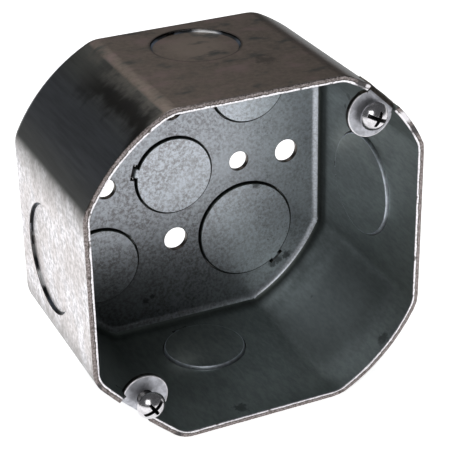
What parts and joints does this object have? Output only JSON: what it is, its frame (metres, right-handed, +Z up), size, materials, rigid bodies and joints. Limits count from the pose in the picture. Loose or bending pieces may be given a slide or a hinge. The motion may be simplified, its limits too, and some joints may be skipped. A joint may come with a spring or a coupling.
{
  "type": "electrical junction box",
  "caption": "Drawn steel octagon junction box with an open front, side and back knockouts on bendable ties, mounting holes and bent-in ears with cover screws.",
  "frame": {"origin": "middle of the back's outer face, the face that is fixed to the building", "axes": "+Y out of the back, so the opening faces -Y; +Z up; +X to the right as seen from the opening"},
  "size_m": [0.0904, 0.06, 0.0904],
  "materials": {
    "galvanised_shell": "satin galvanised sheet, mottled, dark where drawn",
    "galvanised_slug": "satin galvanised sheet, mottled",
    "zinc_screw": "bright zinc plate"
  },
  "bodies": {
    "box": {"box_shell": "galvanised_shell"},
    "back_knockout_center": {"back_knockout_center": "galvanised_slug"},
    "back_knockout_upper_right": {"back_knockout_upper_right": "galvanised_slug"},
    "back_knockout_lower_left": {"back_knockout_lower_left": "galvanised_slug"},
    "back_knockout_upper_left": {"back_knockout_upper_left": "galvanised_slug"},
    "back_knockout_lower_right": {"back_knockout_lower_right": "galvanised_slug"},
    "top_knockout": {"top_knockout": "galvanised_slug"},
    "bottom_knockout": {"bottom_knockout": "galvanised_slug"},
    "left_knockout": {"left_knockout": "galvanised_slug"},
    "right_knockout": {"right_knockout": "galvanised_slug"},
    "upper_cover_screw": {"upper_cover_screw": "zinc_screw"},
    "lower_cover_screw": {"lower_cover_screw": "zinc_screw"}
  },
  "joints": [
    {"name": "back_knockout_center_bend", "type": "hinge", "parent": "box", "child": "back_knockout_center", "pos_m": [-0.01313, -0.0016, 0.005], "axis": [-0.2588, 0, -0.9659], "range_deg": [0, 80]},
    {"name": "back_knockout_upper_right_bend", "type": "hinge", "parent": "box", "child": "back_knockout_upper_right", "pos_m": [0.03013, -0.0016, 0.03313], "axis": [-0.7071, 0, 0.7071], "range_deg": [0, 80]},
    {"name": "back_knockout_lower_left_bend", "type": "hinge", "parent": "box", "child": "back_knockout_lower_left", "pos_m": [-0.03253, -0.0016, -0.02953], "axis": [0.7071, 0, -0.7071], "range_deg": [0, 80]},
    {"name": "back_knockout_upper_left_bend", "type": "hinge", "parent": "box", "child": "back_knockout_upper_left", "pos_m": [-0.03113, -0.0016, 0.03173], "axis": [-0.7071, 0, -0.7071], "range_deg": [0, 80]},
    {"name": "back_knockout_lower_right_bend", "type": "hinge", "parent": "box", "child": "back_knockout_lower_right", "pos_m": [0.02987, -0.0016, -0.03116], "axis": [0.766, 0, 0.6428], "range_deg": [0, 80]},
    {"name": "top_knockout_bend", "type": "hinge", "parent": "box", "child": "top_knockout", "pos_m": [-0.00347, -0.00672, 0.04365], "axis": [0.9781, 0.2079, 0], "range_deg": [0, 80]},
    {"name": "bottom_knockout_bend", "type": "hinge", "parent": "box", "child": "bottom_knockout", "pos_m": [-0.00347, -0.00672, -0.04365], "axis": [-0.9781, -0.2079, 0], "range_deg": [0, 80]},
    {"name": "left_knockout_bend", "type": "hinge", "parent": "box", "child": "left_knockout", "pos_m": [-0.04365, -0.00951, -0.00334], "axis": [0, 0.0872, 0.9962], "range_deg": [0, 80]},
    {"name": "right_knockout_bend", "type": "hinge", "parent": "box", "child": "right_knockout", "pos_m": [0.04365, -0.0108, -0.00214], "axis": [0, -0.1392, -0.9903], "range_deg": [0, 80]},
    {"name": "upper_cover_screw_travel", "type": "slide", "parent": "box", "child": "upper_cover_screw", "axis": [0, -1, 0], "range_m": [-0.00154, 0.00476]},
    {"name": "lower_cover_screw_travel", "type": "slide", "parent": "box", "child": "lower_cover_screw", "axis": [0, -1, 0], "range_m": [-0.00352, 0.00278]}
  ]
}
